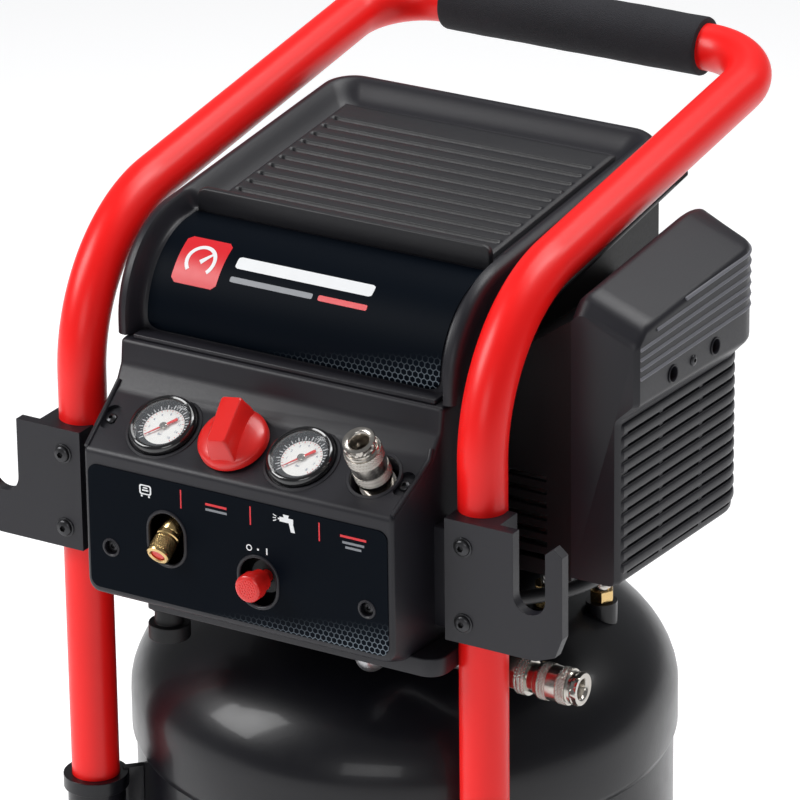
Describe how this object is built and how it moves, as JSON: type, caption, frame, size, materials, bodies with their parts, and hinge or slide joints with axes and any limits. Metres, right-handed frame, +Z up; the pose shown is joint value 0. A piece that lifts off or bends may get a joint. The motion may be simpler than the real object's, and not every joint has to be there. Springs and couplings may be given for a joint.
{
  "type": "air compressor",
  "caption": "Upright portable air compressor: tubular push frame, vertical tank, pump under a tray-topped cover, gauge console with couplers.",
  "frame": {"origin": "bottom centre of the bounding box, on the floor", "axes": "+Z up; -Y is the console side; +X is to the right of a person facing the console"},
  "size_m": [0.436, 0.449, 0.6802],
  "materials": {
    "red_paint": "gloss red powder coat on steel tube",
    "black_paint": "satin black stove enamel on steel",
    "foam_grip": "closed-cell foam sleeve",
    "rubber": "moulded rubber",
    "tyre_rubber": "solid tyre rubber",
    "charcoal_plastic": "fine-textured charcoal moulding",
    "black_plastic": "black moulding",
    "gloss_black_plastic": "glossy black moulding",
    "label_film": "printed navy-black film",
    "red_plastic": "glossy red moulding",
    "nickel": "nickel-plated brass",
    "brass": "machined brass",
    "steel": "bare machined steel",
    "black_screw": "blackened steel",
    "alu": "cast aluminium",
    "dial_white": "printed dial",
    "clear": "clear window",
    "hose_black": "smooth black hose",
    "braid": "woven steel braid",
    "iron": "laminated iron and windings"
  },
  "bodies": {
    "base": {"frame_tube": "red_paint", "handle_grip": "foam_grip", "lower_legs": "black_paint", "rubber_feet": "rubber", "tank_top_head": "black_paint", "tank_bottom_head": "black_paint", "tank_barrel": "black_paint", "tank_bosses": "black_paint", "drain_valve": "brass", "wheel_axle": "steel", "axle_bracket": "black_paint", "axle_caps": "steel", "control_console": "charcoal_plastic", "console_label": "label_film", "case_screws": "black_screw", "hook_left": "charcoal_plastic", "hook_right": "charcoal_plastic", "gauge_cases": "gloss_black_plastic", "gauge_dials": "dial_white", "gauge_lenses": "clear", "air_manifold": "alu", "lower_outlet_pipe": "steel", "outlet_coupler_body": "nickel", "lower_coupler_body": "nickel", "safety_valve_body": "brass", "pressure_switch": "black_plastic", "top_cover": "charcoal_plastic", "cover_label": "label_film", "tray_mat": "rubber", "pump_bracket": "black_paint", "rubber_buffers": "rubber", "pump_housing": "black_plastic", "pump_cover": "charcoal_plastic", "motor_stator": "iron", "motor_end_bell": "alu", "shaft_bearings": "steel", "crankcase": "alu", "cylinder": "alu", "cylinder_head": "alu", "intake_filter": "black_plastic", "discharge_hose": "braid", "check_valve_and_fitting": "brass", "supply_hose": "hose_black", "cable_gland": "black_plastic"},
    "knob": {"regulator_knob": "red_plastic"},
    "tank_needle": {"tank_gauge_needle": "red_plastic"},
    "outlet_needle": {"outlet_gauge_needle": "red_plastic"},
    "button": {"power_button": "red_plastic"},
    "outlet_sleeve": {"outlet_coupler_sleeve": "nickel"},
    "lower_sleeve": {"lower_coupler_sleeve": "nickel"},
    "relief_cap": {"safety_valve_cap": "brass"},
    "rotor": {"rotor_shaft": "steel", "cooling_fan": "black_plastic", "crank_web": "steel"},
    "piston": {"piston_rod": "alu"},
    "left_wheel": {"wheel_hub_left": "charcoal_plastic", "wheel_tyre_left": "tyre_rubber"},
    "right_wheel": {"wheel_hub_right": "charcoal_plastic", "wheel_tyre_right": "tyre_rubber"},
    "drain_cap": {"drain_screw": "brass"}
  },
  "joints": [
    {"name": "regulator_turn", "type": "hinge", "parent": "base", "child": "knob", "pos_m": [-0.0144, -0.1842, 0.5126], "axis": [0, -0.515, 0.8572], "range_deg": [-135, 135]},
    {"name": "tank_needle_swing", "type": "hinge", "parent": "base", "child": "tank_needle", "pos_m": [-0.065, -0.1842, 0.5126], "axis": [0, -0.515, 0.8572], "range_deg": [-270, 0], "stiffness_Nm_per_rad": 0.005},
    {"name": "outlet_needle_swing", "type": "hinge", "parent": "base", "child": "outlet_needle", "pos_m": [0.0322, -0.1842, 0.5126], "axis": [0, -0.515, 0.8572], "range_deg": [-270, 0], "stiffness_Nm_per_rad": 0.005},
    {"name": "power_button_push", "type": "slide", "parent": "base", "child": "button", "axis": [0, 1, 0], "range_m": [0, 0.005]},
    {"name": "outlet_sleeve_pull", "type": "slide", "parent": "base", "child": "outlet_sleeve", "axis": [0, 0.515, -0.8572], "range_m": [0, 0.005], "stiffness_N_per_m": 1500, "springref_m": -0.003},
    {"name": "lower_sleeve_pull", "type": "slide", "parent": "base", "child": "lower_sleeve", "axis": [-1, 0, 0], "range_m": [0, 0.005], "stiffness_N_per_m": 1500, "springref_m": -0.003},
    {"name": "relief_cap_pull", "type": "slide", "parent": "base", "child": "relief_cap", "axis": [0, -0.8572, -0.515], "range_m": [0, 0.003], "stiffness_N_per_m": 2500, "springref_m": -0.002},
    {"name": "rotor_spin", "type": "hinge", "parent": "base", "child": "rotor", "pos_m": [0, -0.0235, 0.486], "axis": [1, 0, 0], "continuous": true},
    {"name": "piston_stroke", "type": "slide", "parent": "base", "child": "piston", "axis": [0, 0, 1], "range_m": [0, 0.016]},
    {"name": "left_wheel_spin", "type": "hinge", "parent": "base", "child": "left_wheel", "pos_m": [-0.198, 0.1335, 0.075], "axis": [1, 0, 0], "continuous": true},
    {"name": "right_wheel_spin", "type": "hinge", "parent": "base", "child": "right_wheel", "pos_m": [0.198, 0.1335, 0.075], "axis": [1, 0, 0], "continuous": true},
    {"name": "drain_turn", "type": "hinge", "parent": "base", "child": "drain_cap", "pos_m": [0, -0.0165, 0.02], "axis": [0, 0, 1], "range_deg": [0, 540]}
  ]
}
